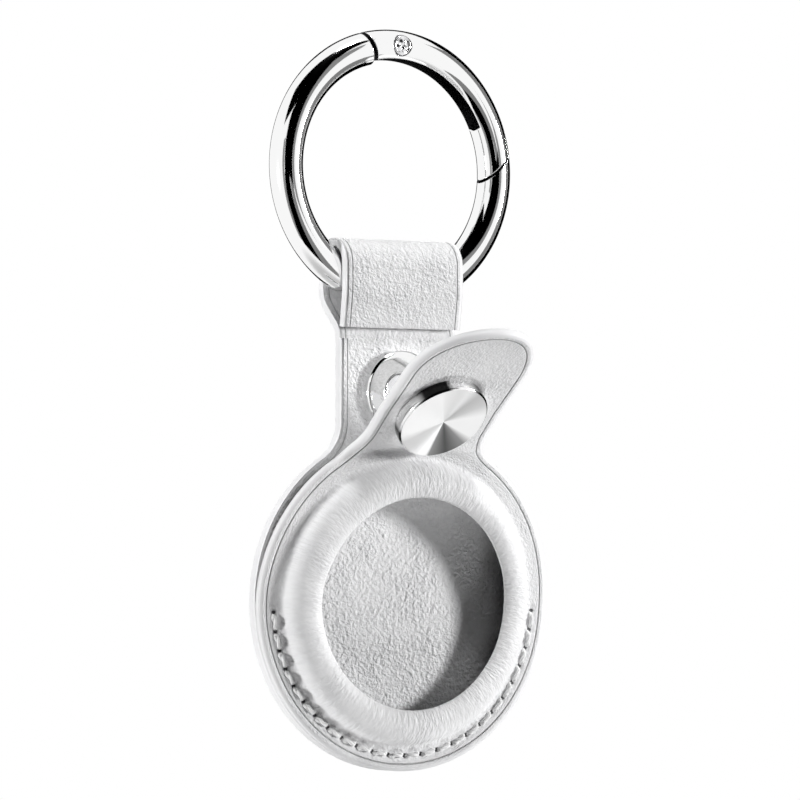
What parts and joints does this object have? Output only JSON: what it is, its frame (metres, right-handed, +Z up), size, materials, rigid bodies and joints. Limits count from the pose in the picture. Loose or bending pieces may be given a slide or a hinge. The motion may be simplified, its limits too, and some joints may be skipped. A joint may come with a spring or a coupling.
{
  "type": "tracker tag holder",
  "caption": "Keyhole-shaped leather pouch with a raised round window and a snapped flap, hung by its strap loop from a sprung gate ring.",
  "frame": {"origin": "centre of the ring, in the plane of its round section", "axes": "+Z up as it hangs, +Y along the ring's axis to the back, so the window faces -Y, +X to the right seen from the front"},
  "size_m": [0.042, 0.0257, 0.0926],
  "materials": {
    "leather": "white synthetic leather with a fine pebbled grain",
    "lining": "white synthetic leather with a coarser pebbled grain",
    "thread": "white twisted thread",
    "chrome": "polished",
    "steel": "plated"
  },
  "bodies": {
    "ring": {"ring_body": "chrome", "gate_pin": "steel"},
    "gate": {"ring_gate": "chrome", "gate_spring": "steel"},
    "loop": {"strap_loop": "leather"},
    "pouch": {"rear_panel": "leather", "rear_lining": "lining", "cover_lower": "leather", "stitching_front": "thread", "stitching_back": "thread", "snap_socket": "chrome", "socket_springs": "steel", "socket_rivet": "steel"},
    "cover": {"cover_upper": "leather"},
    "tab": {"flap_tab": "leather", "snap_cap": "chrome", "cap_post": "steel", "snap_stud": "steel"}
  },
  "joints": [
    {"name": "gate_swing", "type": "hinge", "parent": "ring", "child": "gate", "pos_m": [0.0004, 0, 0.01539], "axis": [0, 1, 0], "range_deg": [0, 28], "stiffness_Nm_per_rad": 0.03, "springref_deg": -28.65},
    {"name": "ring_turn", "type": "hinge", "parent": "ring", "child": "loop", "pos_m": [0, 0, 0], "axis": [0, 1, 0], "range_deg": [-30, 120]},
    {"name": "strap_flex", "type": "hinge", "parent": "loop", "child": "pouch", "pos_m": [0, -0.0011, -0.021], "axis": [1, 0, 0], "range_deg": [-5, 45], "stiffness_Nm_per_rad": 0.02},
    {"name": "cover_open", "type": "hinge", "parent": "pouch", "child": "cover", "pos_m": [0, -0.00255, -0.0541], "axis": [1, 0, 0], "range_deg": [-3.19, 17], "stiffness_Nm_per_rad": 0.02},
    {"name": "tab_bend", "type": "hinge", "parent": "cover", "child": "tab", "pos_m": [0, -0.00512, -0.03578], "axis": [1, 0, 0], "range_deg": [-42.8, 35], "stiffness_Nm_per_rad": 0.006}
  ]
}
